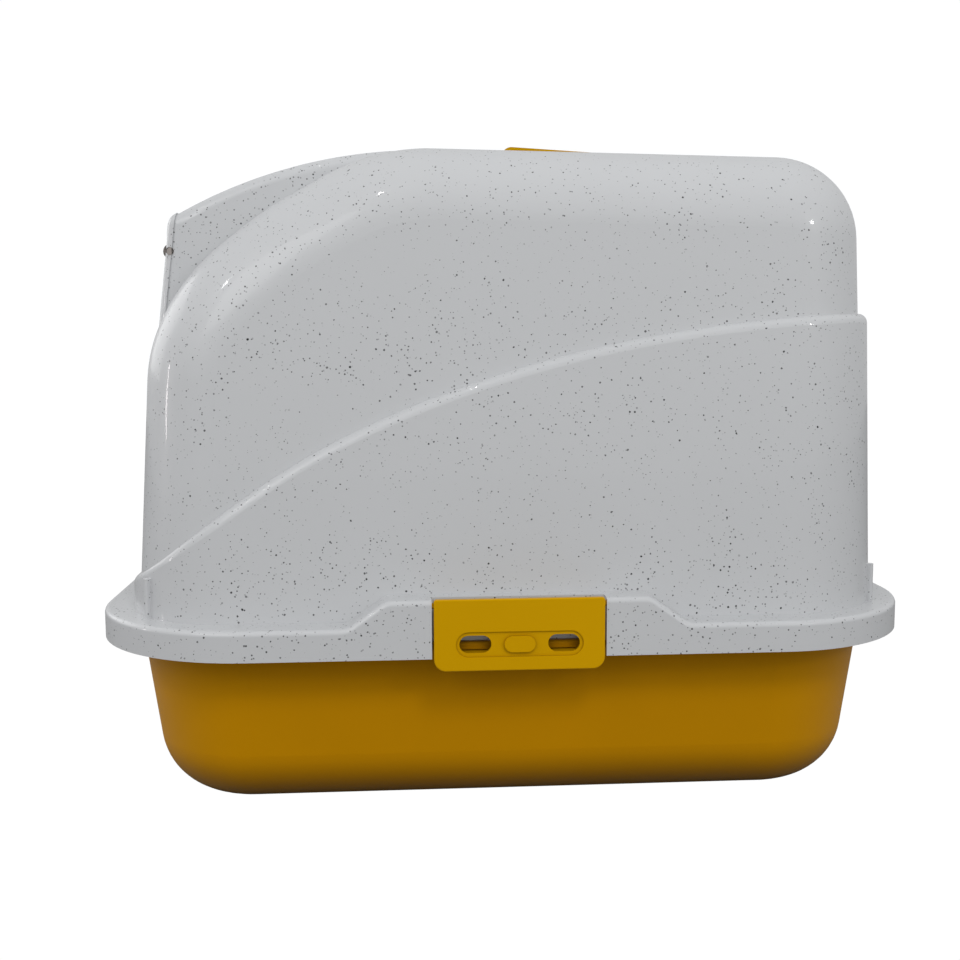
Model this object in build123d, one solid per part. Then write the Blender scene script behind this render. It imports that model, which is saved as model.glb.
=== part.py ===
from build123d import *
import math
import os

# A covered litter box: an open pan, a one-piece hood that stands on the pan's rim,
# a swinging entry door in the hood's brow, a clip on each long side, a folding
# carry handle sunk in the roof, and a carbon filter under the roof vents.
# Millimetres. +Z is up, the entry faces -Y, and the origin is on the floor,
# under the middle of the box.

# Shared walls and clearances
WALL = 2.6
SOFT_GAP = 0.3
PIN_GAP = 0.06
OVERCUT = 5.0
ROOT = 0.5

# Hood lip, the band that hangs over the pan's rim
LIP_LENGTH = 580.0
LIP_WIDTH = 445.0
LIP_CORNER = 112.0
LIP_BOTTOM_Z = 116.5
LIP_HEIGHT = 20.5
LIP_EDGE = 3.5
LIP_TOP_Z = LIP_BOTTOM_Z + LIP_HEIGHT
FRONT_Y = -LIP_LENGTH / 2

# Raised pads of the lip beside each clip
PAD_RISE = 18.3
PAD_HALF_TOP = 87.0
PAD_HALF_FOOT = 113.0
PAD_BLEND = 13.0
PAD_TOP_Z = LIP_TOP_Z + PAD_RISE

# Pan
RIM_TOP_Z = 126.0
RIM_GAP = 4.4
RIM_DROP = 5.0
RIM_EDGE = 2.0
PAN_WALL_GAP = 0.4
PAN_CORNER = 84.0
PAN_TAPER = 8.0
PAN_FOOT_ROUND = 48.0
PAN_FLOOR_RECESS = 1.5
PAN_FOOT_RING = 86.0
PAN_FLOOR_MARGIN = 4.0

# Hood skirt, the wide lower tier
FLANGE_WIDTH = 22.5
SKIRT_CORNER = 78.0
SKIRT_TAPER = 1.9
SKIRT_EDGE = 6.5
SKIRT_REAR_Z = 341.0
CREST_OVERRUN = 1.005
CREST_START = -0.039
CREST = ((-0.807, 0.282), (-0.534, 0.527), (-0.235, 0.713), (0.168, 0.878), (0.557, 0.968))

# Hood upper tier and roof
STEP = 7.0
ROOF_FRONT_Z = 457.8
ROOF_REAR_Z = 451.4
REAR_LEAN = 2.0
FRONT_LEAN = 3.7
SIDE_LEAN = 1.8
SHOULDER_ROUND = 54.0
ROOF_REAR_ROUND = 60.0
FRONT_STEP = 7.2
REAR_STEP = 9.2
# Corners of the front slope: setback from the lip's front, height, radius
SLOPE_CORNERS = (
    (198.6, 457.6, 150.0),
    (121.4, 415.1, 300.0),
    (66.1, 370.9, 150.0),
    (40.0, 320.5, 108.0),
)

# Central brow over the entry
BROW_HALF_WIDTH = 130.0
BROW_BACK_SETBACK = 230.0
BROW_MID_SETBACK = 135.0
BROW_MID_Z = 443.6
BROW_NOSE_SETBACK = 54.5
BROW_NOSE_Z = 409.2
BROW_LOW_SETBACK = 43.6
BROW_LOW_Z = 322.0
BROW_SINK = 0.5
BROW_NOSE_ROUND = 9.0
BROW_EDGE = 8.0
BEAD_DEPTH = 4.6
BEAD_PROUD = 1.1
BEAD_FOOT = 10.0
BROW_BACK_Y = FRONT_Y + BROW_BACK_SETBACK
BROW_MID_Y = FRONT_Y + BROW_MID_SETBACK
BROW_NOSE_Y = FRONT_Y + BROW_NOSE_SETBACK
BROW_LOW_Y = FRONT_Y + BROW_LOW_SETBACK

# Entry tunnel and door
SILL_Z = 166.0
HEADER_Z = 402.5
TUNNEL_SIDE = 3.4
TUNNEL_SETBACK = 64.0
TUNNEL_HALF_WIDTH = BROW_HALF_WIDTH - TUNNEL_SIDE
TUNNEL_BACK_Y = FRONT_Y + TUNNEL_SETBACK
TUNNEL_CORNER = 25.0
HEADER_CORNER = 10.0
HINGE_SETBACK = 55.0
HINGE_Y = FRONT_Y + HINGE_SETBACK
HINGE_Z = 386.4
DOOR_PIN_R = 2.7
DOOR_PIN_SINK = 0.6
DOOR_THICK = 2.4
DOOR_GAP = 1.6
DOOR_RIM = 9.0
DOOR_RIM_PROUD = 1.2
DOOR_WINDOW_CORNER = 1.0
DOOR_HUB_R = 5.4
DOOR_HUB_LENGTH = 16.0

# Side clips
CLIP_HALF_WIDTH = 56.3
CLIP_SIDE_GAP = 1.2
CLIP_TOP_Z = 156.0
CLIP_BOTTOM_Z = 108.3
CLIP_THICK = 3.2
CLIP_PROUD = 1.5
CLIP_CORNER = 8.0
CLIP_TOP_CORNER = 2.0
CLIP_EDGE = 0.9
CLIP_PIN_R = 2.0
CLIP_PIN_LENGTH = 3.6
CLIP_PIVOT_DROP = 4.6
CLIP_PIVOT_INSET = 1.2
CLIP_HUB_R = 3.0
CHEEK = 3.2
BORE_REACH = 1.0
NOTCH_DEPTH = 11.5
SLOT_OFFSET = 29.2
SLOT_LENGTH = 21.0
SLOT_HEIGHT = 11.6
SLOT_Z = 126.0
BAND_LENGTH = 84.0
BAND_HEIGHT = 16.8
BAND_DEPTH = 1.1
PILL_LENGTH = 20.4
PILL_HEIGHT = 10.8
PILL_PROUD = 0.6
HOOK_WIDTH = 17.0
HOOK_HEIGHT = 3.2
HOOK_GAP = 0.8
HOOK_BITE = 2.3

# Nesting ribs on the four corners of the hood's foot
RIB_HEIGHT = 27.0
RIB_WIDTH = 5.0
RIB_PROUD = 3.6
RIB_DEPTH = 14.0
RIB_EDGE = 1.8
RIB_FRONT_ANGLE = 49.0
RIB_REAR_ANGLE = 60.0

# Carry handle and its recess in the roof
HANDLE_PIVOT_Y = 10.0
HANDLE_RISE = 3.7
HANDLE_PIVOT_Z = ROOF_FRONT_Z + HANDLE_RISE
HANDLE_REACH = 74.0
HANDLE_HALF_SPAN = 64.0
HANDLE_HUB_R = 8.0
HANDLE_ARM_WIDTH = 9.0
GRIP_R = 7.0
GRIP_DROP = 3.4
EAR_THICK = 7.0
EAR_R = 6.6
EAR_GAP = 0.4
HANDLE_PIN_R = 3.0
RECESS_MARGIN = 9.0
RECESS_CORNER = 14.0

# Roof vents, filter and its holder
VENT_COUNT = 6
VENT_PITCH = 8.0
VENT_WIDTH = 4.0
VENT_LENGTH = 76.0
VENT_SHIFT = 1.0
FILTER_LENGTH = 96.0
FILTER_WIDTH = 56.0
FILTER_THICK = 8.0
HOLDER_WALL = 2.0
RAIL_LIP = 4.0
HOLDER_BARS = 5


def rounded_box(half_x, half_y, corner, low_z, high_z):
    """A straight prism with rounded vertical corners."""
    outline = RectangleRounded(2 * half_x, 2 * half_y, corner)
    return extrude(Pos(0, 0, low_z) * outline, high_z - low_z)


def side_face(points):
    """A face in the Y-Z plane through (y, z) points."""
    return make_face(Plane.YZ * Polyline(*points, close=True))


def round_corner(face, y, z, radius):
    """Rounds the corner of a Y-Z face that lies nearest to (y, z)."""
    target = Vector(0, y, z)
    corner = min(face.vertices(), key=lambda v: (Vector(*v) - target).length)
    return fillet(corner, radius)


def across(face, half_width):
    """A Y-Z face swept along X, from one side of the middle to the other."""
    return extrude(Pos(-half_width, 0, 0) * face, 2 * half_width, dir=(1, 0, 0))


# Hood, worked as one form that is made twice: the outside, and the hollow one wall in

SKIRT_HALF_X = LIP_WIDTH / 2 - FLANGE_WIDTH
SKIRT_HALF_Y = LIP_LENGTH / 2 - FLANGE_WIDTH
DEEP = 40.0


def lean(degrees, height):
    """How far a wall leans over a height."""
    return math.tan(math.radians(degrees)) * height


def skirt_form(inset, foot_z):
    """The lower tier: a tapered rounded box under the sweeping crest line."""
    tall = SKIRT_REAR_Z + DEEP - foot_z
    grow = lean(SKIRT_TAPER, LIP_TOP_Z - foot_z)
    outline = RectangleRounded(
        2 * (SKIRT_HALF_X + grow - inset),
        2 * (SKIRT_HALF_Y + grow - inset),
        SKIRT_CORNER - inset,
    )
    block = extrude(Pos(0, 0, foot_z) * outline, tall, taper=SKIRT_TAPER)
    rise = SKIRT_REAR_Z - LIP_TOP_Z
    far_y = SKIRT_HALF_Y + DEEP
    start = (-far_y, LIP_TOP_Z + CREST_START * rise - inset)
    end = (far_y, LIP_TOP_Z + CREST_OVERRUN * rise - inset)
    middle = [(y * SKIRT_HALF_Y, LIP_TOP_Z + z * rise - inset) for y, z in CREST]
    crest = Spline(start, *middle, end)
    low = Polyline(end, (far_y, foot_z - 1), (-far_y, foot_z - 1), start)
    under = make_face(Plane.YZ * (crest + low))
    form = block & across(under, LIP_WIDTH)
    if inset == 0:
        crest_face = form.faces().filter_by(GeomType.PLANE, reverse=True).sort_by(Axis.Z)[-1]
        form = fillet(crest_face.edges(), SKIRT_EDGE)
    return form


def upper_form(inset, foot_z):
    """The upper tier: roof, long slope down to the front wall, round shoulders."""
    rear_top_y = rear_wall_y_at(ROOF_REAR_Z)
    slope = [(FRONT_Y + setback, z) for setback, z, _ in SLOPE_CORNERS]
    ends = [
        (front_wall_y_at(foot_z), foot_z),
        (rear_wall_y_at(foot_z), foot_z),
        (rear_top_y, ROOF_REAR_Z),
    ]
    face = side_face(slope + ends)
    if inset:
        face = offset(face, -inset, kind=Kind.INTERSECTION)
    for (y, z), (_, _, radius) in zip(slope, SLOPE_CORNERS):
        face = round_corner(face, y, z, radius - inset)
    face = round_corner(face, rear_top_y, ROOF_REAR_Z, ROOF_REAR_ROUND - inset)
    slab = across(face, SKIRT_HALF_X - STEP - inset)
    low_z = slab.bounding_box().min.Z
    sides = slab.faces().filter_by(Axis.X)
    slab = fillet([e for e in sides.edges() if e.center().Z > low_z + 1], SHOULDER_ROUND - inset)
    tilt = lean(SIDE_LEAN, 1.0)
    lean_in = Matrix([[1, 0, -tilt, tilt * LIP_TOP_Z], [0, 1, 0, 0], [0, 0, 1, 0], [0, 0, 0, 1]])
    keep = Pos(LIP_WIDTH, 0, ROOF_FRONT_Z / 2) * Box(2 * LIP_WIDTH, 2 * LIP_LENGTH, 2 * LIP_WIDTH)
    right = (slab & Pos(-SHOULDER_ROUND, 0, 0) * keep).transform_geometry(lean_in) & keep
    return right + mirror(right, Plane.YZ)


def front_wall_y_at(z):
    """Where the upper tier's front wall stands at a height."""
    return FRONT_STEP - SKIRT_HALF_Y + lean(FRONT_LEAN, z - LIP_TOP_Z)


def rear_wall_y_at(z):
    """Where the upper tier's rear wall stands at a height."""
    return SKIRT_HALF_Y - REAR_STEP - lean(REAR_LEAN, z - LIP_TOP_Z)


def brow_face():
    """Side view of the central brow, from the roof to its nose and down the front."""
    top = ThreePointArc(
        (BROW_BACK_Y, ROOF_FRONT_Z - BROW_SINK),
        (BROW_MID_Y, BROW_MID_Z),
        (BROW_NOSE_Y, BROW_NOSE_Z),
    )
    rest = Polyline(
        (BROW_NOSE_Y, BROW_NOSE_Z),
        (BROW_LOW_Y, BROW_LOW_Z),
        (BROW_LOW_Y, BROW_LOW_Z - DEEP),
        (BROW_BACK_Y, BROW_LOW_Z - DEEP),
        (BROW_BACK_Y, ROOF_FRONT_Z - BROW_SINK),
    )
    face = make_face(Plane.YZ * (top + rest))
    return round_corner(face, BROW_NOSE_Y, BROW_NOSE_Z, BROW_NOSE_ROUND)


def brow_form(inset):
    """The central brow as a solid, its long edges rounded."""
    face = brow_face()
    if inset:
        face = offset(face, -inset, kind=Kind.INTERSECTION)
    form = across(face, BROW_HALF_WIDTH - inset)
    sides = form.faces().filter_by(Axis.X)
    low_z = BROW_LOW_Z - DEEP / 2
    back_y = BROW_BACK_Y - 2 * WALL
    edges = [
        e for f in sides for e in f.edges() if e.center().Z > low_z and e.center().Y < back_y
    ]
    return fillet(edges, BROW_EDGE - inset)


def brow_bead():
    """The rim round the brow's mouth, a little proud of its sides and top."""
    form = brow_form(-BEAD_PROUD)
    slope = (BROW_LOW_Y - BROW_NOSE_Y) / (BROW_NOSE_Z - BROW_LOW_Z)
    top_z = BROW_NOSE_Z + DEEP
    low_z = BROW_LOW_Z - BEAD_FOOT
    face = side_face(
        [
            (BROW_NOSE_Y - slope * (top_z - BROW_NOSE_Z) + BEAD_DEPTH, top_z),
            (BROW_LOW_Y + slope * (BROW_LOW_Z - low_z) + BEAD_DEPTH, low_z),
            (BROW_LOW_Y - DEEP, low_z),
            (BROW_NOSE_Y - DEEP, top_z),
        ]
    )
    return form & across(face, LIP_WIDTH)


def runs_across(edge):
    """Whether an edge runs straight across the whole lip."""
    straight = edge.geom_type == GeomType.LINE and abs(edge.tangent_at(0.5).X) > 0.99
    return straight and abs(edge.center().X) < 1


def lip_form(inset, foot_z):
    """The lip and flange with the raised pads, as one form."""
    half_y = LIP_LENGTH / 2 + DEEP
    foot = PAD_HALF_FOOT - inset
    top = PAD_HALF_TOP - inset
    face = side_face(
        [
            (-half_y, foot_z),
            (-half_y, LIP_TOP_Z - inset),
            (-foot, LIP_TOP_Z - inset),
            (-top, PAD_TOP_Z - inset),
            (top, PAD_TOP_Z - inset),
            (foot, LIP_TOP_Z - inset),
            (half_y, LIP_TOP_Z - inset),
            (half_y, foot_z),
        ]
    )
    for y, z, r in (
        (-foot, LIP_TOP_Z, PAD_BLEND + inset),
        (-top, PAD_TOP_Z, PAD_BLEND - inset),
        (top, PAD_TOP_Z, PAD_BLEND - inset),
        (foot, LIP_TOP_Z, PAD_BLEND + inset),
    ):
        face = round_corner(face, y, z - inset, r)
    plan = rounded_box(
        LIP_WIDTH / 2 - inset, LIP_LENGTH / 2 - inset, LIP_CORNER - inset, foot_z, PAD_TOP_Z
    )
    form = plan & across(face, LIP_WIDTH)
    if inset == 0:
        high = [e for e in form.edges() if e.center().Z > LIP_TOP_Z - 1]
        form = fillet([e for e in high if not runs_across(e)], LIP_EDGE)
    return form


RECESS_HALF_X = HANDLE_HALF_SPAN + RECESS_MARGIN
RECESS_LOW_Y = HANDLE_PIVOT_Y - HANDLE_HUB_R - RECESS_MARGIN
RECESS_HIGH_Y = HANDLE_PIVOT_Y + HANDLE_REACH + GRIP_R + RECESS_MARGIN
GRIP_Z = HANDLE_PIVOT_Z - GRIP_DROP
RECESS_FLOOR_Z = GRIP_Z - GRIP_R - SOFT_GAP


def recess_block(grow, low_z):
    """The handle's recess, or the block of roof around and under it."""
    outline = RectangleRounded(
        2 * (RECESS_HALF_X + grow),
        RECESS_HIGH_Y - RECESS_LOW_Y + 2 * grow,
        RECESS_CORNER + grow,
    )
    middle = (RECESS_LOW_Y + RECESS_HIGH_Y) / 2
    return extrude(Pos(0, middle, low_z) * outline, ROOF_FRONT_Z + DEEP - low_z)


def tunnel_prism(grow):
    """The entry's outline, swept from in front of the hood to the tunnel's back."""
    height = HEADER_Z - SILL_Z + 2 * grow
    outline = Rectangle(2 * (TUNNEL_HALF_WIDTH + grow), height)
    low = outline.vertices().group_by(Axis.Y)[0]
    outline = fillet(low, TUNNEL_CORNER + grow)
    high = outline.vertices().group_by(Axis.Y)[-1]
    outline = fillet(high, HEADER_CORNER)
    place = Plane((0, TUNNEL_BACK_Y, (HEADER_Z + SILL_Z) / 2), x_dir=(1, 0, 0), z_dir=(0, -1, 0))
    return extrude(place * outline, TUNNEL_BACK_Y - FRONT_Y)


def along_x(y, z, radius, x0, x1):
    """A round bar along X."""
    place = Plane((x0, y, z), x_dir=(0, 1, 0), z_dir=(1, 0, 0))
    return extrude(place * Circle(radius), x1 - x0)


def along_y(x, z, radius, y0, y1):
    """A round bar along Y."""
    place = Plane((x, y0, z), x_dir=(1, 0, 0), z_dir=(0, 1, 0))
    return extrude(place * Circle(radius), y1 - y0)


CLIP_OUT_X = LIP_WIDTH / 2 + CLIP_PROUD
CLIP_IN_X = CLIP_OUT_X - CLIP_THICK
CLIP_PIVOT_X = CLIP_IN_X - CLIP_PIVOT_INSET
CLIP_PIVOT_Z = CLIP_TOP_Z - CLIP_PIVOT_DROP
NOTCH_HALF = CLIP_HALF_WIDTH + CLIP_SIDE_GAP
EAR_MID_X = HANDLE_HALF_SPAN - HANDLE_ARM_WIDTH - EAR_GAP - EAR_THICK / 2
HOLDER_HALF_X = FILTER_LENGTH / 2 + HOLDER_WALL + SOFT_GAP
HOLDER_HALF_Y = FILTER_WIDTH / 2 + HOLDER_WALL + SOFT_GAP
HOLDER_TOP_Z = RECESS_FLOOR_Z - WALL - SOFT_GAP
HOLDER_LOW_Z = HOLDER_TOP_Z - FILTER_THICK - SOFT_GAP - HOLDER_WALL
VENT_MID_Y = HANDLE_PIVOT_Y + HANDLE_REACH / 2 + VENT_SHIFT


def nesting_ribs():
    """Four short upright ribs on the hood's corners, which keep stacked hoods apart."""
    ribs = []
    arc_x = SKIRT_HALF_X - SKIRT_CORNER
    arc_y = SKIRT_HALF_Y - SKIRT_CORNER
    reach = SKIRT_CORNER + RIB_PROUD
    for sx in (-1, 1):
        for sy in (-1, 1):
            from_side = RIB_REAR_ANGLE if sy > 0 else RIB_FRONT_ANGLE
            angle = sy * from_side if sx > 0 else 180 - sy * from_side
            rib = Pos(sx * arc_x, sy * arc_y, LIP_TOP_Z - WALL / 2) * Rot(0, 0, angle)
            outline = Pos(reach - RIB_DEPTH / 2, 0) * RectangleRounded(RIB_DEPTH, RIB_WIDTH, RIB_EDGE)
            ribs.append(rib * extrude(outline, RIB_HEIGHT + WALL / 2))
    return ribs


def filter_rails():
    """Two L-shaped rails under the roof that carry the filter holder."""
    rails = []
    low_z = HOLDER_LOW_Z - SOFT_GAP - WALL
    high_z = RECESS_FLOOR_Z - WALL / 2
    length = 2 * HOLDER_HALF_X
    for side in (-1, 1):
        upright_y = VENT_MID_Y + side * (HOLDER_HALF_Y + SOFT_GAP + WALL / 2)
        foot_y = upright_y - side * RAIL_LIP / 2
        upright = Pos(0, upright_y, (low_z + high_z) / 2) * Box(length, WALL, high_z - low_z)
        foot = Pos(0, foot_y, low_z + WALL / 2) * Box(length, WALL + RAIL_LIP, WALL)
        rails += [upright, foot]
    return rails


def notch_block(side, grow, low_z):
    """The block that a clip's notch takes out of the lip, with a wall and cheeks round it."""
    high_z = PAD_TOP_Z + DEEP
    half_y = NOTCH_HALF + CHEEK if grow else NOTCH_HALF
    place = Pos(side * LIP_WIDTH / 2, 0, (low_z + high_z) / 2)
    return place * Box(2 * (NOTCH_DEPTH + grow), 2 * half_y, high_z - low_z)


def pin_holes():
    """The bores for the clips' pins in the cheeks, and for the door's in the brow."""
    holes = []
    for side in (-1, 1):
        for end in (-1, 1):
            low_y, high_y = sorted((end * NOTCH_HALF, end * (NOTCH_HALF + CHEEK + BORE_REACH)))
            radius = CLIP_PIN_R + PIN_GAP
            holes.append(along_y(side * CLIP_PIVOT_X, CLIP_PIVOT_Z, radius, low_y, high_y))
        low_x, high_x = sorted((side * TUNNEL_HALF_WIDTH, side * (BROW_HALF_WIDTH + DEEP)))
        holes.append(along_x(HINGE_Y, HINGE_Z, DOOR_PIN_R + PIN_GAP, low_x, high_x))
    return holes


def make_hood():
    """The one-piece hood."""
    sides = (-1, 1)
    tiers = skirt_form(0, RIM_TOP_Z) + upper_form(0, RIM_TOP_Z) + brow_form(0) + brow_bead()
    under_lip = lip_form(WALL, LIP_BOTTOM_Z - OVERCUT)
    for side in sides:
        under_lip -= notch_block(side, WALL, RIM_TOP_Z)
    outer = lip_form(0, LIP_BOTTOM_Z) - under_lip + tiers
    foot_z = RIM_TOP_Z - OVERCUT
    hollow = skirt_form(WALL, foot_z) + upper_form(WALL, foot_z) + brow_form(WALL)
    hollow -= recess_block(WALL, RECESS_FLOOR_Z - WALL)
    hood = outer - hollow - recess_block(0, RECESS_FLOOR_Z)
    tunnel = (tunnel_prism(WALL) - tunnel_prism(0)) & outer
    added = [tunnel, *nesting_ribs(), *filter_rails(), *(handle_ear(side) for side in sides)]
    notches = [notch_block(side, 0, LIP_BOTTOM_Z - OVERCUT) for side in sides]
    return hood + added - [tunnel_prism(0), *roof_vents(), *notches, *pin_holes()]


def handle_ear(side):
    """One of the two ears in the recess that hold the handle's pins."""
    mid_x = side * EAR_MID_X
    low_x = mid_x - EAR_THICK / 2
    foot_z = RECESS_FLOOR_Z - WALL / 2
    ear = along_x(HANDLE_PIVOT_Y, HANDLE_PIVOT_Z, EAR_R, low_x, low_x + EAR_THICK)
    ear += Pos(mid_x, HANDLE_PIVOT_Y, (HANDLE_PIVOT_Z + foot_z) / 2) * Box(
        EAR_THICK, 2 * EAR_R, HANDLE_PIVOT_Z - foot_z
    )
    radius = HANDLE_PIN_R + PIN_GAP
    return ear - along_x(
        HANDLE_PIVOT_Y, HANDLE_PIVOT_Z, radius, low_x - EAR_THICK, low_x + 2 * EAR_THICK
    )


def roof_vents():
    """The row of slots through the floor of the recess."""
    vents = []
    for k in range(VENT_COUNT):
        y = VENT_MID_Y + (k - (VENT_COUNT - 1) / 2) * VENT_PITCH
        slot = Pos(0, y, RECESS_FLOOR_Z - 2 * WALL) * SlotOverall(VENT_LENGTH, VENT_WIDTH)
        vents.append(extrude(slot, 3 * WALL))
    return vents


PAN_HALF_X = SKIRT_HALF_X - WALL - PAN_WALL_GAP
PAN_HALF_Y = SKIRT_HALF_Y - WALL - PAN_WALL_GAP
RIM_HALF_X = LIP_WIDTH / 2 - WALL - RIM_GAP
RIM_HALF_Y = LIP_LENGTH / 2 - WALL - RIM_GAP
RIM_CORNER = LIP_CORNER - WALL - RIM_GAP


def basin(inset, low_z, high_z):
    """The pan's tapered body, or the hollow in it, with a round foot."""
    grow = lean(PAN_TAPER, high_z - RIM_TOP_Z)
    outline = RectangleRounded(
        2 * (PAN_HALF_X + grow - inset), 2 * (PAN_HALF_Y + grow - inset), PAN_CORNER + grow - inset
    )
    top = Plane((0, 0, high_z), z_dir=(0, 0, -1))
    block = extrude(top * outline, high_z - low_z, taper=PAN_TAPER)
    low = block.faces().sort_by(Axis.Z)[0]
    return fillet(low.edges(), PAN_FOOT_ROUND - inset)


def make_pan():
    """The open pan: tapered walls, round foot, and a rim that turns out and down."""
    rim = rounded_box(RIM_HALF_X, RIM_HALF_Y, RIM_CORNER, RIM_TOP_Z - RIM_DROP, RIM_TOP_Z)
    rim = fillet(rim.faces().sort_by(Axis.Z)[-1].edges(), RIM_EDGE)
    rim -= rounded_box(RIM_HALF_X - WALL, RIM_HALF_Y - WALL, RIM_CORNER - WALL, 0, RIM_TOP_Z - WALL)
    pan = basin(0, 0, RIM_TOP_Z) + rim - basin(WALL, WALL, RIM_TOP_Z + OVERCUT)
    ring_x = PAN_HALF_X - PAN_FOOT_RING
    ring_y = PAN_HALF_Y - PAN_FOOT_RING
    corner = PAN_CORNER / 2
    foot_recess = rounded_box(ring_x, ring_y, corner, -WALL, PAN_FLOOR_RECESS)
    margin = PAN_FLOOR_MARGIN
    floor_lift = rounded_box(
        ring_x + margin, ring_y + margin, corner + margin, WALL - ROOT, WALL + PAN_FLOOR_RECESS
    )
    return pan + floor_lift - foot_recess


def clip_plate():
    """The clip's plate with its sunk band, two cored slots and raised thumb pill."""
    outline = Rectangle(2 * CLIP_HALF_WIDTH, CLIP_TOP_Z - CLIP_BOTTOM_Z)
    outline = fillet(outline.vertices().group_by(Axis.Y)[0], CLIP_CORNER)
    outline = fillet(outline.vertices().group_by(Axis.Y)[-1], CLIP_TOP_CORNER)
    mid_z = (CLIP_TOP_Z + CLIP_BOTTOM_Z) / 2
    inner = Plane((CLIP_IN_X, 0, mid_z), x_dir=(0, 1, 0), z_dir=(1, 0, 0))
    plate = extrude(inner * outline, CLIP_THICK)
    plate = fillet(plate.faces().sort_by(Axis.X)[-1].edges(), CLIP_EDGE)
    face = Plane((CLIP_OUT_X, 0, SLOT_Z), x_dir=(0, 1, 0), z_dir=(1, 0, 0))
    band = face.offset(-BAND_DEPTH)
    plate -= extrude(face * SlotOverall(BAND_LENGTH, BAND_HEIGHT), -BAND_DEPTH)
    plate += extrude(band * SlotOverall(PILL_LENGTH, PILL_HEIGHT), BAND_DEPTH + PILL_PROUD)
    for end in (-1, 1):
        slot = Pos(end * SLOT_OFFSET, 0) * SlotOverall(SLOT_LENGTH, SLOT_HEIGHT)
        plate -= extrude(face.offset(-2 * CLIP_THICK) * slot, 3 * CLIP_THICK)
    return plate


def make_clip(side):
    """A side clip: plate, hinge bead and pins, and the two hooks that grip the pan's rim."""
    clip = clip_plate()
    pin_half = CLIP_HALF_WIDTH + CLIP_PIN_LENGTH
    clip += along_y(CLIP_PIVOT_X, CLIP_PIVOT_Z, CLIP_HUB_R, -CLIP_HALF_WIDTH, CLIP_HALF_WIDTH)
    clip += along_y(CLIP_PIVOT_X, CLIP_PIVOT_Z, CLIP_PIN_R, -pin_half, pin_half)
    tip_x = RIM_HALF_X - HOOK_BITE
    root_x = CLIP_IN_X + ROOT
    hook_z = RIM_TOP_Z - RIM_DROP - HOOK_GAP - HOOK_HEIGHT / 2
    for end in (-1, 1):
        place = Pos((tip_x + root_x) / 2, end * SLOT_OFFSET, hook_z)
        clip += place * Box(root_x - tip_x, HOOK_WIDTH, HOOK_HEIGHT)
    return clip if side > 0 else mirror(clip, Plane.YZ)


DOOR_HALF = TUNNEL_HALF_WIDTH - DOOR_GAP
DOOR_LOW_Z = SILL_Z + 2 * DOOR_GAP
DOOR_HIGH_Z = HEADER_Z - 2 * DOOR_GAP


def door_outline(inset):
    """The flap's outline, or the window inside its rim."""
    shape = Rectangle(2 * (DOOR_HALF - inset), DOOR_HIGH_Z - DOOR_LOW_Z - 2 * inset)
    shape = fillet(shape.vertices().group_by(Axis.Y)[0], TUNNEL_CORNER - DOOR_GAP - inset)
    high_corner = max(HEADER_CORNER - inset, DOOR_WINDOW_CORNER)
    return fillet(shape.vertices().group_by(Axis.Y)[-1], high_corner)


def make_door():
    """The see-through entry flap, hung from two pins in the brow's cheeks."""
    back_y = HINGE_Y + DOOR_THICK / 2
    mid_z = (DOOR_LOW_Z + DOOR_HIGH_Z) / 2
    place = Plane((0, back_y, mid_z), x_dir=(1, 0, 0), z_dir=(0, -1, 0))
    door = extrude(place * door_outline(0), DOOR_THICK)
    frame = door_outline(0) - door_outline(DOOR_RIM)
    door += extrude(place.offset(-DOOR_RIM_PROUD) * frame, DOOR_THICK + 2 * DOOR_RIM_PROUD)
    pin_end = BROW_HALF_WIDTH + BEAD_PROUD - DOOR_PIN_SINK
    for side in (-1, 1):
        hub_ends = sorted((side * (DOOR_HALF - DOOR_HUB_LENGTH), side * DOOR_HALF))
        pin_ends = sorted((side * (DOOR_HALF - ROOT), side * pin_end))
        door += along_x(HINGE_Y, HINGE_Z, DOOR_HUB_R, *hub_ends)
        door += along_x(HINGE_Y, HINGE_Z, DOOR_PIN_R, *pin_ends)
    return door


def make_handle():
    """The folding bail: two arms on pivot pins and a round grip, folded to the rear."""
    arm_face = side_face(
        [
            (HANDLE_PIVOT_Y, HANDLE_PIVOT_Z + HANDLE_HUB_R),
            (HANDLE_PIVOT_Y + HANDLE_REACH, GRIP_Z + GRIP_R),
            (HANDLE_PIVOT_Y + HANDLE_REACH, GRIP_Z - GRIP_R),
            (HANDLE_PIVOT_Y, HANDLE_PIVOT_Z - HANDLE_HUB_R),
        ]
    )
    grip_y = HANDLE_PIVOT_Y + HANDLE_REACH
    handle = along_x(grip_y, GRIP_Z, GRIP_R, -HANDLE_HALF_SPAN, HANDLE_HALF_SPAN)
    for side in (-1, 1):
        outer_x = side * HANDLE_HALF_SPAN
        inner_x = side * (HANDLE_HALF_SPAN - HANDLE_ARM_WIDTH)
        low_x = min(outer_x, inner_x)
        handle += extrude(Pos(low_x, 0, 0) * arm_face, HANDLE_ARM_WIDTH, dir=(1, 0, 0))
        hub_end = low_x + HANDLE_ARM_WIDTH
        pin_ends = sorted((side * (EAR_MID_X - EAR_THICK / 2), inner_x))
        handle += along_x(HANDLE_PIVOT_Y, HANDLE_PIVOT_Z, HANDLE_HUB_R, low_x, hub_end)
        handle += along_x(HANDLE_PIVOT_Y, HANDLE_PIVOT_Z, HANDLE_PIN_R, *pin_ends)
    return handle


def make_filter():
    """The carbon pad."""
    mid_z = HOLDER_TOP_Z - FILTER_THICK / 2
    return Pos(0, VENT_MID_Y, mid_z) * Box(FILTER_LENGTH, FILTER_WIDTH, FILTER_THICK)


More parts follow.
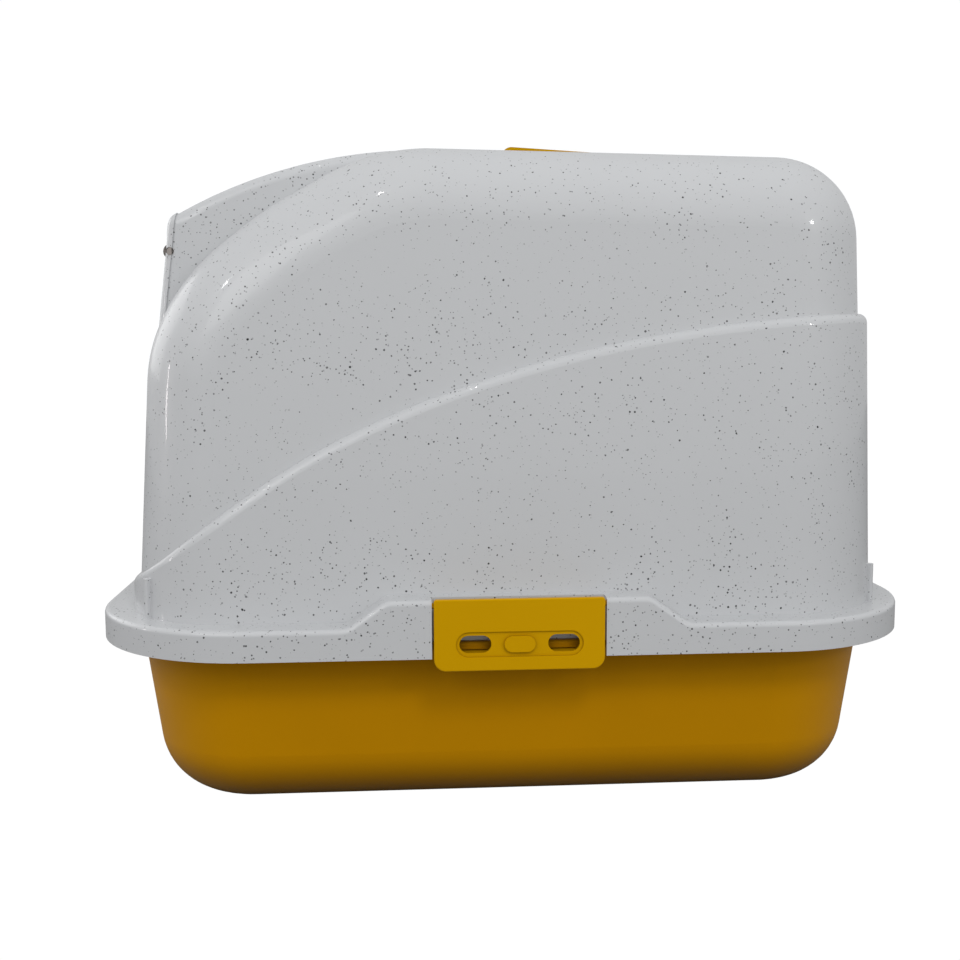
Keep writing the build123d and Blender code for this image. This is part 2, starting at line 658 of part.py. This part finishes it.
def make_filter_holder():
    """A shallow tray with a barred floor that slides into the rails."""
    height = HOLDER_TOP_Z - HOLDER_LOW_Z
    inner_x = HOLDER_HALF_X - HOLDER_WALL
    inner_y = HOLDER_HALF_Y - HOLDER_WALL
    middle = Pos(0, VENT_MID_Y, HOLDER_LOW_Z + height / 2)
    tray = middle * Box(2 * HOLDER_HALF_X, 2 * HOLDER_HALF_Y, height)
    tray -= middle * Pos(0, 0, HOLDER_WALL) * Box(2 * inner_x, 2 * inner_y, height)
    window = 2 * (inner_y - RAIL_LIP)
    pitch = 2 * inner_x / (HOLDER_BARS + 1)
    for k in range(HOLDER_BARS + 1):
        place = Pos((k - HOLDER_BARS / 2) * pitch, VENT_MID_Y, HOLDER_LOW_Z)
        tray -= place * Box(pitch - HOLDER_WALL, window, 3 * HOLDER_WALL)
    return tray


NODES = {
    "litter_pan": make_pan,
    "hood_shell": make_hood,
    "entry_door": make_door,
    "clip_right": lambda: make_clip(1),
    "clip_left": lambda: make_clip(-1),
    "carry_handle": make_handle,
    "carbon_filter": make_filter,
    "filter_holder": make_filter_holder,
}

os.makedirs("parts", exist_ok=True)
for name, make in NODES.items():
    shape = make()
    export_step(shape, f"parts/{name}.step")
    print(name, round(shape.volume))
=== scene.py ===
"""Looks, light and camera of a covered litter box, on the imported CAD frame."""

import logging
import math
from dataclasses import dataclass
from enum import Enum

import bmesh
import bpy
from mathutils import Euler, Matrix, Vector

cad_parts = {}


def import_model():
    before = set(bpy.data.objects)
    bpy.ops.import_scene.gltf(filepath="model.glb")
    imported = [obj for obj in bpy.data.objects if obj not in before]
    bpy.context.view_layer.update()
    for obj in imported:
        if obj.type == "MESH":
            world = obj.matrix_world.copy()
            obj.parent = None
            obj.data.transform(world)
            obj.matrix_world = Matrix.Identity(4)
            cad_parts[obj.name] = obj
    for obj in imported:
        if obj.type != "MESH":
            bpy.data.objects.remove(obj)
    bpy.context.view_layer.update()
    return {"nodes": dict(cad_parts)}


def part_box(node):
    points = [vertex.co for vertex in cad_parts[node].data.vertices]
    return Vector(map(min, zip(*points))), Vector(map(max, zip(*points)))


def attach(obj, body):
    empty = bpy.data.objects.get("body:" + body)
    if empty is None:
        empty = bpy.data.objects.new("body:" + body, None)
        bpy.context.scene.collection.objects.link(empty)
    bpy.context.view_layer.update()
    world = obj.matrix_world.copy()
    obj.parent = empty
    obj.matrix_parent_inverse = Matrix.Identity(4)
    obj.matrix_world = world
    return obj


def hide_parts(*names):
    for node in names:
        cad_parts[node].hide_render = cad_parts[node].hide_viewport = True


LOG = logging.getLogger("litter_box")
PHOTO_LENS_MM = 45.0
SENSOR_MM = 36.0
CLIP_START_M = 0.01

# Factor and both colours of a colour mix node, then its result
MIX_COLOUR_INPUTS = (0, 6, 7)
MIX_COLOUR_OUTPUT = 2

# Below, a pair of numbers is the gain and the base of a value that a texture drives.
# Specks: scale of the cells, mean radius in metres and colour of each layer
SPECK_LAYERS = (
    (330.0, 0.00037, (0.09, 0.09, 0.10, 1)),
    (260.0, 0.00053, (0.010, 0.010, 0.012, 1)),
    (165.0, 0.00061, (0.004, 0.004, 0.005, 1)),
)
SPECK_WOBBLE_SCALE = 1400.0
SPECK_WOBBLE_M = 0.0007
SPECK_CROWD_SCALE = 48.0
SPECK_CROWD = (1.5, 0.25)
SPECK_SPREAD = (0.75, 0.5)
SPECK_EDGE = 7.0
SPECK_DEPTH_POWER = 0.4

# Moulded plastic: output, scale and detail of the slow drifts, then the grain and the gloss
GRAIN_DRIFTS = (("Drift", 9.0, 3.0), ("Gloss", 38.0, 4.0))
GRAIN_STRENGTH = 0.35
WAVE_SCALE = 26.0
WAVE_SHARE = 3.0
GLOSS_DRIFT = 0.10
COAT_ROUGHNESS = 0.05
# Painted shade: reach and samples of the ambient occlusion that darkens colours in creases and near
# the floor
PAINTED_SHADE_REACH_M = 0.045
PAINTED_SHADE_SAMPLES = 8

# The door's clear plastic
SMOKE_DARK = (0.46, 0.41, 0.38, 1)
SMOKE_LIGHT = (0.52, 0.47, 0.44, 1)
SMOKE_GRAIN_SCALE = 500.0
SMOKE_ROUGHNESS = (0.08, 0.05)
SMOKE_CLEARNESS = 0.88
CLEAR_PLASTIC_IOR = 1.49

# The carbon felt
FELT_DARK = (0.008, 0.008, 0.009, 1)
FELT_LIGHT = (0.055, 0.055, 0.06, 1)
FELT_FIBRE_SCALE = 1500.0
FELT_PORE_SCALE = 620.0
FELT_ROUGHNESS = (0.2, 0.78)
FELT_SHEEN = 0.25
FELT_DEPTH_M = 0.0006

# The studio: what the camera sees as white, and what lights the object
WHITE_LEVEL = 1.02
WORLD_LEVEL = 0.60
WORLD_COLOUR = (0.985, 0.993, 1.0, 1)
FLOOR_COLOUR = (0.30, 0.30, 0.30, 1)
FLOOR_ROUGHNESS = 0.8
FLOOR_HALF_M = 6.0
FLOOR_DROP_M = 0.0005


class Slot(Enum):
    """The record's material slots."""

    PAN = "pan_plastic"
    HOOD = "hood_plastic"
    DOOR = "door_clear"
    CLIP = "clip_plastic"
    HOLDER = "holder_plastic"
    PAD = "filter_pad"


@dataclass(frozen=True)
class Finish:
    """One moulded finish.

    Args:
        name: Name of the material.
        colour: Linear base colour.
        roughness: Mean roughness.
        coat: Weight of the clear gloss over it.
        tint: Share by which the colour drifts over the surface.
        grain_m: Depth of the fine moulded grain, in metres.
        grain_scale: Frequency of that grain, per metre.
        specks: Whether dark specks lie in the plastic.
        sheen_colour: Colour of the reflections.
        specular: Strength of the plain reflections.
        painted_shade: How much shade is painted into the colour in creases and near the floor.
    """

    name: str
    colour: tuple[float, float, float]
    roughness: float = 0.34
    coat: float = 0.1
    tint: float = 0.03
    grain_m: float = 0.00004
    grain_scale: float = 900.0
    specks: bool = False
    sheen_colour: tuple[float, float, float] = (1.0, 1.0, 1.0)
    specular: float = 0.5
    painted_shade: float = 0.0


AMBER_SHEEN = (1.0, 0.62, 0.10)
SPECKLED = Finish(
    "speckled_white",
    (0.577, 0.586, 0.599),
    roughness=0.36,
    coat=0.35,
    tint=0.02,
    grain_m=0.00003,
    grain_scale=700.0,
    specks=True,
)
PLAIN_WHITE = Finish("plain_white", (0.62, 0.64, 0.66), roughness=0.36)
# The mustard finishes get painted shade in creases, under the lip and near the floor
MUSTARD = Finish(
    "mustard_pan",
    (0.56, 0.25, 0.0004),
    roughness=0.42,
    coat=0.0,
    tint=0.07,
    sheen_colour=AMBER_SHEEN,
    specular=0.3,
    painted_shade=0.75,
)
BRIGHT_MUSTARD = Finish(
    "mustard_fittings",
    (0.62, 0.33, 0.0004),
    roughness=0.34,
    coat=0.0,
    tint=0.04,
    sheen_colour=AMBER_SHEEN,
    specular=0.35,
    painted_shade=0.5,
)


class NodeTree:
    """A small wrapper that adds and links shader nodes.

    Args:
        tree: The node tree to fill.
    """

    def __init__(self, tree: bpy.types.NodeTree) -> None:
        self.tree = tree

    def add(self, kind: str, **values: object) -> bpy.types.Node:
        """Adds a node.

        Args:
            kind: The node's type name.
            values: Properties of the node.

        Returns:
            The new node.
        """
        node = self.tree.nodes.new(kind)
        for key, value in values.items():
            setattr(node, key, value)
        return node

    def link(self, start: bpy.types.NodeSocket, end: bpy.types.NodeSocket) -> None:
        """Links two sockets.

        Args:
            start: Output socket.
            end: Input socket.
        """
        self.tree.links.new(start, end)

    def fill(self, socket: bpy.types.NodeSocket, value: object) -> None:
        """Links a socket to another, or gives it a fixed value.

        Args:
            socket: Input socket.
            value: Output socket, number or colour.
        """
        if isinstance(value, bpy.types.NodeSocket):
            self.link(value, socket)
        else:
            socket.default_value = value

    def math(
        self, operation: str, *values: bpy.types.NodeSocket | float, clamp: bool = False
    ) -> bpy.types.NodeSocket:
        """Adds a math node.

        Args:
            operation: The math operation.
            values: The sockets or numbers that it takes, in order.
            clamp: Whether the result stays between 0 and 1.

        Returns:
            The result's socket.
        """
        node = self.add("ShaderNodeMath", operation=operation, use_clamp=clamp)
        for index, value in enumerate(values):
            self.fill(node.inputs[index], value)
        return node.outputs[0]

    def noise(
        self,
        place: bpy.types.NodeSocket,
        scale: bpy.types.NodeSocket | float,
        detail: float = 2.0,
        distortion: float = 0.0,
    ) -> bpy.types.Node:
        """Adds a noise texture.

        Args:
            place: Its coordinates.
            scale: Its frequency, per metre.
            detail: How many finer layers it has.
            distortion: How much it is twisted.

        Returns:
            The new node.
        """
        node = self.add("ShaderNodeTexNoise")
        self.link(place, node.inputs["Vector"])
        self.fill(node.inputs["Scale"], scale)
        node.inputs["Detail"].default_value = detail
        node.inputs["Distortion"].default_value = distortion
        return node

    def mix(
        self,
        factor: bpy.types.NodeSocket | float,
        first: bpy.types.NodeSocket | tuple[float, float, float, float],
        second: bpy.types.NodeSocket | tuple[float, float, float, float],
        blend: str = "MIX",
    ) -> bpy.types.NodeSocket:
        """Mixes two colours.

        Args:
            factor: Share of the second colour.
            first: The colour at 0.
            second: The colour at 1.
            blend: How the second colour goes over the first.

        Returns:
            The mixed colour.
        """
        node = self.add("ShaderNodeMix", data_type="RGBA", blend_type=blend)
        for index, value in zip(MIX_COLOUR_INPUTS, (factor, first, second)):
            self.fill(node.inputs[index], value)
        return node.outputs[MIX_COLOUR_OUTPUT]


def group_of(
    name: str, inputs: dict[str, str], outputs: dict[str, str]
) -> tuple[bpy.types.NodeTree, NodeTree]:
    """Makes an empty shader node group.

    Args:
        name: Name of the group.
        inputs: Socket name to socket type.
        outputs: Socket name to socket type.

    Returns:
        The group and its wrapper.
    """
    group = bpy.data.node_groups.new(name, "ShaderNodeTree")
    for label, kind in inputs.items():
        group.interface.new_socket(name=label, in_out="INPUT", socket_type=kind)
    for label, kind in outputs.items():
        group.interface.new_socket(name=label, in_out="OUTPUT", socket_type=kind)
    return group, NodeTree(group)


class Library:
    """The shared node groups and the materials made from them."""

    def __init__(self) -> None:
        self.speck_group = self._speck_group()
        self.grain_group = self._grain_group()

    def _speck_group(self) -> bpy.types.NodeTree:
        """Sparse round specks of uneven size and depth of colour.

        Returns:
            A group that gives a mask from 0 to 1.
        """
        group, net = group_of(
            "Specks",
            {"Vector": "NodeSocketVector", "Scale": "NodeSocketFloat", "Radius": "NodeSocketFloat"},
            {"Mask": "NodeSocketFloat"},
        )
        entry = net.add("NodeGroupInput")
        leave = net.add("NodeGroupOutput")
        place = entry.outputs["Vector"]
        wobble = net.noise(place, SPECK_WOBBLE_SCALE, detail=1.0)
        centred = net.add("ShaderNodeVectorMath", operation="SUBTRACT")
        centred.inputs[1].default_value = (0.5, 0.5, 0.5)
        net.link(wobble.outputs["Color"], centred.inputs[0])
        small = net.add("ShaderNodeVectorMath", operation="SCALE")
        small.inputs["Scale"].default_value = SPECK_WOBBLE_M
        net.link(centred.outputs[0], small.inputs[0])
        moved = net.add("ShaderNodeVectorMath", operation="ADD")
        net.link(place, moved.inputs[0])
        net.link(small.outputs[0], moved.inputs[1])
        cells = net.add("ShaderNodeTexVoronoi")
        net.link(moved.outputs[0], cells.inputs["Vector"])
        net.link(entry.outputs["Scale"], cells.inputs["Scale"])
        split = net.add("ShaderNodeSeparateColor")
        net.link(cells.outputs["Color"], split.inputs[0])
        distance = net.math("DIVIDE", cells.outputs["Distance"], entry.outputs["Scale"])
        crowd = net.noise(place, SPECK_CROWD_SCALE)
        share = net.math("MULTIPLY_ADD", crowd.outputs["Fac"], *SPECK_CROWD)
        spread = net.math("MULTIPLY_ADD", split.outputs[0], *SPECK_SPREAD)
        uneven = net.math("MULTIPLY", spread, share)
        reach = net.math("MULTIPLY", entry.outputs["Radius"], uneven)
        edge = net.math("SUBTRACT", 1.0, net.math("DIVIDE", distance, reach))
        sharp = net.math("MULTIPLY", edge, SPECK_EDGE, clamp=True)
        depth = net.math("POWER", split.outputs[1], SPECK_DEPTH_POWER)
        net.link(net.math("MULTIPLY", sharp, depth), leave.inputs["Mask"])
        return group

    def _grain_group(self) -> bpy.types.NodeTree:
        """Slow drift of shade and gloss, and the height of fine moulded grain.

        Returns:
            A group that gives drift, gloss and height.
        """
        group, net = group_of(
            "Moulded grain",
            {"Vector": "NodeSocketVector", "Grain": "NodeSocketFloat"},
            {"Drift": "NodeSocketFloat", "Gloss": "NodeSocketFloat", "Height": "NodeSocketFloat"},
        )
        entry = net.add("NodeGroupInput")
        leave = net.add("NodeGroupOutput")
        place = entry.outputs["Vector"]
        for label, scale, detail in GRAIN_DRIFTS:
            drift = net.noise(place, scale, detail)
            net.link(drift.outputs["Fac"], leave.inputs[label])
        fine = net.noise(place, entry.outputs["Grain"])
        wave = net.noise(place, WAVE_SCALE)
        slow = net.math("MULTIPLY", wave.outputs["Fac"], WAVE_SHARE)
        net.link(net.math("ADD", fine.outputs["Fac"], slow), leave.inputs["Height"])
        return group

    def _start(
        self, name: str
    ) -> tuple[bpy.types.Material, NodeTree, bpy.types.Node, bpy.types.Node]:
        """Starts a material.

        Args:
            name: Name of the material.

        Returns:
            The material, its wrapper, its shader and its coordinates.
        """
        material = bpy.data.materials.new(name)
        material.use_nodes = True
        net = NodeTree(material.node_tree)
        shader = material.node_tree.nodes["Principled BSDF"]
        return material, net, shader, net.add("ShaderNodeTexCoord")

    def plastic(self, finish: Finish) -> bpy.types.Material:
        """Makes a moulded plastic.

        Args:
            finish: What it looks like.

        Returns:
            The material.
        """
        material, net, shader, coords = self._start(finish.name)
        place = coords.outputs["Object"]
        grain = net.add("ShaderNodeGroup", node_tree=self.grain_group)
        net.link(place, grain.inputs["Vector"])
        grain.inputs["Grain"].default_value = finish.grain_scale
        dark = tuple(c * (1 - finish.tint) for c in finish.colour)
        light = tuple(min(1.0, c * (1 + finish.tint)) for c in finish.colour)
        colour = net.mix(grain.outputs["Drift"], (*dark, 1), (*light, 1))
        if finish.specks:
            colour = self._speckle(net, place, colour)
        # Painted shade: ambient occlusion darkens the colour in creases, under the lip and near the
        # floor
        if finish.painted_shade:
            colour = self._paint_shade(net, colour, finish.painted_shade)
        net.link(colour, shader.inputs["Base Color"])
        low_rough = finish.roughness - GLOSS_DRIFT / 2
        rough = net.math("MULTIPLY_ADD", grain.outputs["Gloss"], GLOSS_DRIFT, low_rough)
        net.link(rough, shader.inputs["Roughness"])
        shader.inputs["Coat Weight"].default_value = finish.coat
        shader.inputs["Coat Roughness"].default_value = COAT_ROUGHNESS
        shader.inputs["Specular Tint"].default_value = (*finish.sheen_colour, 1)
        shader.inputs["Specular IOR Level"].default_value = finish.specular
        bump = net.add("ShaderNodeBump")
        bump.inputs["Strength"].default_value = GRAIN_STRENGTH
        bump.inputs["Distance"].default_value = finish.grain_m
        net.link(grain.outputs["Height"], bump.inputs["Height"])
        net.link(bump.outputs["Normal"], shader.inputs["Normal"])
        return material

    def _speckle(
        self, net: NodeTree, place: bpy.types.NodeSocket, base: bpy.types.NodeSocket
    ) -> bpy.types.NodeSocket:
        """Lays three sizes of specks over a colour.

        Args:
            net: The material's wrapper.
            place: Coordinates.
            base: The colour under the specks.

        Returns:
            The speckled colour.
        """
        for scale, radius, shade in SPECK_LAYERS:
            specks = net.add("ShaderNodeGroup", node_tree=self.speck_group)
            net.link(place, specks.inputs["Vector"])
            specks.inputs["Scale"].default_value = scale
            specks.inputs["Radius"].default_value = radius
            base = net.mix(specks.outputs["Mask"], base, shade)
        return base

    def _paint_shade(
        self, net: NodeTree, base: bpy.types.NodeSocket, amount: float
    ) -> bpy.types.NodeSocket:
        """Paints shade into a colour in creases and near the floor, from ambient occlusion.

        Args:
            net: The material's wrapper.
            base: The colour in the open.
            amount: Share of the open colour that the painted shade takes away in the closest
                creases.

        Returns:
            The colour with its painted shade.
        """
        near = net.add("ShaderNodeAmbientOcclusion", samples=PAINTED_SHADE_SAMPLES)
        near.inputs["Distance"].default_value = PAINTED_SHADE_REACH_M
        level = net.math("MULTIPLY_ADD", near.outputs["AO"], amount, 1.0 - amount)
        return net.mix(1.0, base, level, "MULTIPLY")

    def smoke(self) -> bpy.types.Material:
        """Makes the see-through smoke-tinted plastic of the door.

        Returns:
            The material.
        """
        material, net, shader, coords = self._start("smoke_clear")
        grain = net.add("ShaderNodeGroup", node_tree=self.grain_group)
        net.link(coords.outputs["Object"], grain.inputs["Vector"])
        grain.inputs["Grain"].default_value = SMOKE_GRAIN_SCALE
        tint = net.mix(grain.outputs["Drift"], SMOKE_DARK, SMOKE_LIGHT)
        net.link(tint, shader.inputs["Base Color"])
        rough = net.math("MULTIPLY_ADD", grain.outputs["Gloss"], *SMOKE_ROUGHNESS)
        net.link(rough, shader.inputs["Roughness"])
        shader.inputs["Transmission Weight"].default_value = SMOKE_CLEARNESS
        shader.inputs["IOR"].default_value = CLEAR_PLASTIC_IOR
        return material

    def felt(self) -> bpy.types.Material:
        """Makes the carbon pad's dark fibrous felt.

        Returns:
            The material.
        """
        material, net, shader, coords = self._start("carbon_felt")
        place = coords.outputs["Object"]
        fibres = net.noise(place, FELT_FIBRE_SCALE, detail=6.0, distortion=2.5)
        pores = net.add("ShaderNodeTexVoronoi", feature="SMOOTH_F1")
        pores.inputs["Scale"].default_value = FELT_PORE_SCALE
        net.link(place, pores.inputs["Vector"])
        colour = net.mix(fibres.outputs["Fac"], FELT_DARK, FELT_LIGHT)
        net.link(colour, shader.inputs["Base Color"])
        rough = net.math("MULTIPLY_ADD", fibres.outputs["Fac"], *FELT_ROUGHNESS)
        net.link(rough, shader.inputs["Roughness"])
        shader.inputs["Sheen Weight"].default_value = FELT_SHEEN
        height = net.math("ADD", fibres.outputs["Fac"], pores.outputs["Distance"])
        bump = net.add("ShaderNodeBump")
        bump.inputs["Distance"].default_value = FELT_DEPTH_M
        net.link(height, bump.inputs["Height"])
        net.link(bump.outputs["Normal"], shader.inputs["Normal"])
        return material


@dataclass
class Shell:
    """The CAD nodes, which keep their shapes and get their finishes.

    Args:
        nodes: CAD node name to object.
        library: Where the materials come from.
    """

    nodes: dict[str, bpy.types.Object]
    library: Library

    def dress(self) -> None:
        """Gives every CAD node its material."""
        white = self.library.plastic(SPECKLED)
        fittings = self.library.plastic(BRIGHT_MUSTARD)
        looks = {
            "litter_pan": self.library.plastic(MUSTARD),
            "hood_shell": white,
            "entry_door": self.library.smoke(),
            "clip_right": fittings,
            "clip_left": fittings,
            "carry_handle": fittings,
            "filter_holder": self.library.plastic(PLAIN_WHITE),
        }
        for name, material in looks.items():
            mesh = self.nodes[name].data
            for index in range(max(1, len(mesh.materials))):
                if index < len(mesh.materials):
                    mesh.materials[index] = material
                else:
                    mesh.materials.append(material)
            LOG.info("dressed %s", name)


@dataclass
class FilterPad:
    """The soft carbon pad, in place of its plain CAD solid.

    Args:
        library: Where the materials come from.
        crown: How far the faces swell at the middle, as a share of the thickness.
        cuts: Cuts along each edge of the block that it starts from.
        edge_pull: Share by which the upper and lower edges draw in.
        bow: Shares by which the long and short sides curve in.
        dimple: Height of the quilting, as a share of the thickness.
        sink: Share of the thickness by which the faces lie lower all over.
        fit: Share of the solid's thickness that the pad may fill.
    """

    library: Library
    crown: float = 0.16
    cuts: int = 36
    edge_pull: float = 0.035
    bow: tuple[float, float] = (0.012, 0.02)
    dimple: float = 0.02
    sink: float = 0.03
    fit: float = 0.98

    def build(self) -> bpy.types.Object:
        """Makes the pad inside its CAD solid's space.

        Returns:
            The new object.
        """
        low, high = (Vector(corner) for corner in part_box("carbon_filter"))
        centre, half = (low + high) / 2, (high - low) / 2
        shape = bmesh.new()
        bmesh.ops.create_cube(shape, size=2.0)
        bmesh.ops.subdivide_edges(
            shape, edges=shape.edges[:], cuts=self.cuts, use_grid_fill=True
        )
        for vert in shape.verts:
            x, y, z = vert.co
            swell = 1 - self.crown * (1 - (1 - x**6) * (1 - y**6))
            pull = 1 - self.edge_pull * abs(z) ** 6
            dimple = self.dimple * math.sin(9 * x + 2 * y) * math.cos(7 * y - x)
            vert.co = (
                centre.x + x * half.x * pull * (1 - self.bow[0] * y * y),
                centre.y + y * half.y * pull * (1 - self.bow[1] * x * x),
                centre.z + z * half.z * (swell - self.sink + dimple) * self.fit,
            )
        bmesh.ops.recalc_face_normals(shape, faces=shape.faces[:])
        mesh = bpy.data.meshes.new("filter_pad")
        shape.to_mesh(mesh)
        shape.free()
        mesh.shade_smooth()
        mesh.materials.append(self.library.felt())
        pad = bpy.data.objects.new("filter_pad", mesh)
        bpy.context.scene.collection.objects.link(pad)
        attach(pad, "filter")
        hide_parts("carbon_filter")
        return pad


@dataclass(frozen=True)
class Lamp:
    """A soft area light.

    Args:
        name: Name of the light.
        place: Where it is, in metres.
        target: What it points at.
        size: Its two sides, in metres.
        watts: Its power.
        colour: Its colour.
        mirrored: Whether glossy surfaces mirror it.
    """

    name: str
    place: tuple[float, float, float]
    target: tuple[float, float, float]
    size: tuple[float, float]
    watts: float
    colour: tuple[float, float, float] = (1.0, 1.0, 1.0)
    mirrored: bool = True

    def build(self) -> None:
        """Adds the light to the scene."""
        data = bpy.data.lights.new(self.name, "AREA")
        data.shape = "RECTANGLE"
        data.size, data.size_y = self.size
        data.energy = self.watts
        data.color = self.colour
        lamp = bpy.data.objects.new(self.name, data)
        lamp.location = self.place
        lamp.visible_glossy = self.mirrored
        aim = Vector(self.target) - Vector(self.place)
        lamp.rotation_euler = aim.to_track_quat("-Z", "Y").to_euler()
        bpy.context.scene.collection.objects.link(lamp)


PINKISH = (1.0, 0.93, 0.93)
LAMPS = (
    Lamp("overhead", (0.2, 0.0, 2.3), (0.0, 0.0, 0.2), (2.2, 2.2), 0.6, (0.96, 0.98, 1.0)),
    Lamp("front_left", (1.7, -1.2, 1.5), (0.0, -0.1, 0.2), (1.0, 1.0), 6.5),
    Lamp("key", (1.6, 0.35, 1.6), (0.2, 0.05, 0.15), (0.40, 0.40), 8.5, (1.0, 0.99, 0.975), False),
    Lamp("right_fill", (1.8, 1.4, 0.9), (0.0, 0.1, 0.2), (1.4, 1.4), 3.2, (1.0, 1.0, 1.0), False),
    Lamp("slope_glint", (0.93, -1.52, 1.65), (0.179, -0.190, 0.362), (0.05, 0.18), 1.6),
    Lamp("roof_glint", (1.22, -0.50, 2.08), (0.179, -0.088, 0.420), (0.05, 0.08), 0.8),
    Lamp("front_glint", (0.30, -2.22, 0.48), (0.177, -0.230, 0.299), (0.08, 0.42), 1.8, PINKISH),
    Lamp("rear_glint", (1.67, 1.35, 1.09), (0.184, 0.202, 0.402), (0.15, 0.15), 2.2),
    Lamp("entry_side", (-0.9, -1.8, 0.9), (0.0, -0.1, 0.25), (1.4, 1.0), 6.0),
)


@dataclass
class Studio:
    """The pale floor, white surroundings, lamps and camera.

    Args:
        position: The camera's place, in metres.
        yaw: Turn of its aim from -X towards +Y, in degrees.
        pitch: How far it looks down, in degrees.
        roll: How far it leans, in degrees.
    """

    position: tuple[float, float, float] = (0.989, -0.078, 0.318)
    yaw: float = 3.9
    pitch: float = 6.24
    roll: float = -0.22

    def world(self) -> None:
        """Makes the surroundings white to the camera and pale grey to the object."""
        world = bpy.data.worlds.new("surroundings")
        bpy.context.scene.world = world
        world.use_nodes = True
        net = NodeTree(world.node_tree)
        back = world.node_tree.nodes["Background"]
        rays = net.add("ShaderNodeLightPath")
        to_white = WHITE_LEVEL - WORLD_LEVEL
        level = net.math("MULTIPLY_ADD", rays.outputs["Is Camera Ray"], to_white, WORLD_LEVEL)
        back.inputs["Color"].default_value = WORLD_COLOUR
        net.link(level, back.inputs["Strength"])

    def floor(self) -> None:
        """Lays a pale floor that the camera sees as white, and sees through from below."""
        shape = bmesh.new()
        bmesh.ops.create_grid(shape, x_segments=2, y_segments=2, size=FLOOR_HALF_M)
        mesh = bpy.data.meshes.new("floor")
        shape.to_mesh(mesh)
        shape.free()
        material = bpy.data.materials.new("pale_floor")
        material.use_nodes = True
        net = NodeTree(material.node_tree)
        shader = material.node_tree.nodes["Principled BSDF"]
        shader.inputs["Base Color"].default_value = FLOOR_COLOUR
        shader.inputs["Roughness"].default_value = FLOOR_ROUGHNESS
        glow = net.add("ShaderNodeEmission")
        glow.inputs["Strength"].default_value = WHITE_LEVEL
        rays = net.add("ShaderNodeLightPath")
        mix = net.add("ShaderNodeMixShader")
        net.link(rays.outputs["Is Camera Ray"], mix.inputs[0])
        net.link(shader.outputs[0], mix.inputs[1])
        net.link(glow.outputs[0], mix.inputs[2])
        under = net.add("ShaderNodeMixShader")
        net.link(net.add("ShaderNodeNewGeometry").outputs["Backfacing"], under.inputs[0])
        net.link(mix.outputs[0], under.inputs[1])
        net.link(net.add("ShaderNodeBsdfTransparent").outputs[0], under.inputs[2])
        net.link(under.outputs[0], material.node_tree.nodes["Material Output"].inputs["Surface"])
        mesh.materials.append(material)
        floor = bpy.data.objects.new("floor", mesh)
        floor.location.z = -FLOOR_DROP_M
        bpy.context.scene.collection.objects.link(floor)

    def camera(self) -> None:
        """Places the camera as it stood for the photograph."""
        data = bpy.data.cameras.new("camera")
        data.sensor_width = SENSOR_MM
        data.lens = PHOTO_LENS_MM
        data.clip_start = CLIP_START_M
        camera = bpy.data.objects.new("camera", data)
        turn = (math.radians(90 - self.pitch), 0.0, math.radians(90 - self.yaw))
        level = Euler(turn, "XYZ").to_matrix()
        lean = Matrix.Rotation(math.radians(self.roll), 3, "Z")
        camera.matrix_world = Matrix.Translation(self.position) @ (level @ lean).to_4x4()
        bpy.context.scene.collection.objects.link(camera)
        bpy.context.scene.camera = camera

    def build(self) -> None:
        """Adds the whole studio."""
        bpy.context.scene.view_settings.view_transform = "Standard"
        self.world()
        self.floor()
        self.camera()
        for lamp in LAMPS:
            lamp.build()


def main() -> None:
    """Dresses the frame, and adds the soft piece and the studio."""
    logging.basicConfig(level=logging.INFO)
    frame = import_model()
    library = Library()
    Shell(frame["nodes"], library).dress()
    FilterPad(library).build()
    Studio().build()


if __name__ == "__main__":
    main()
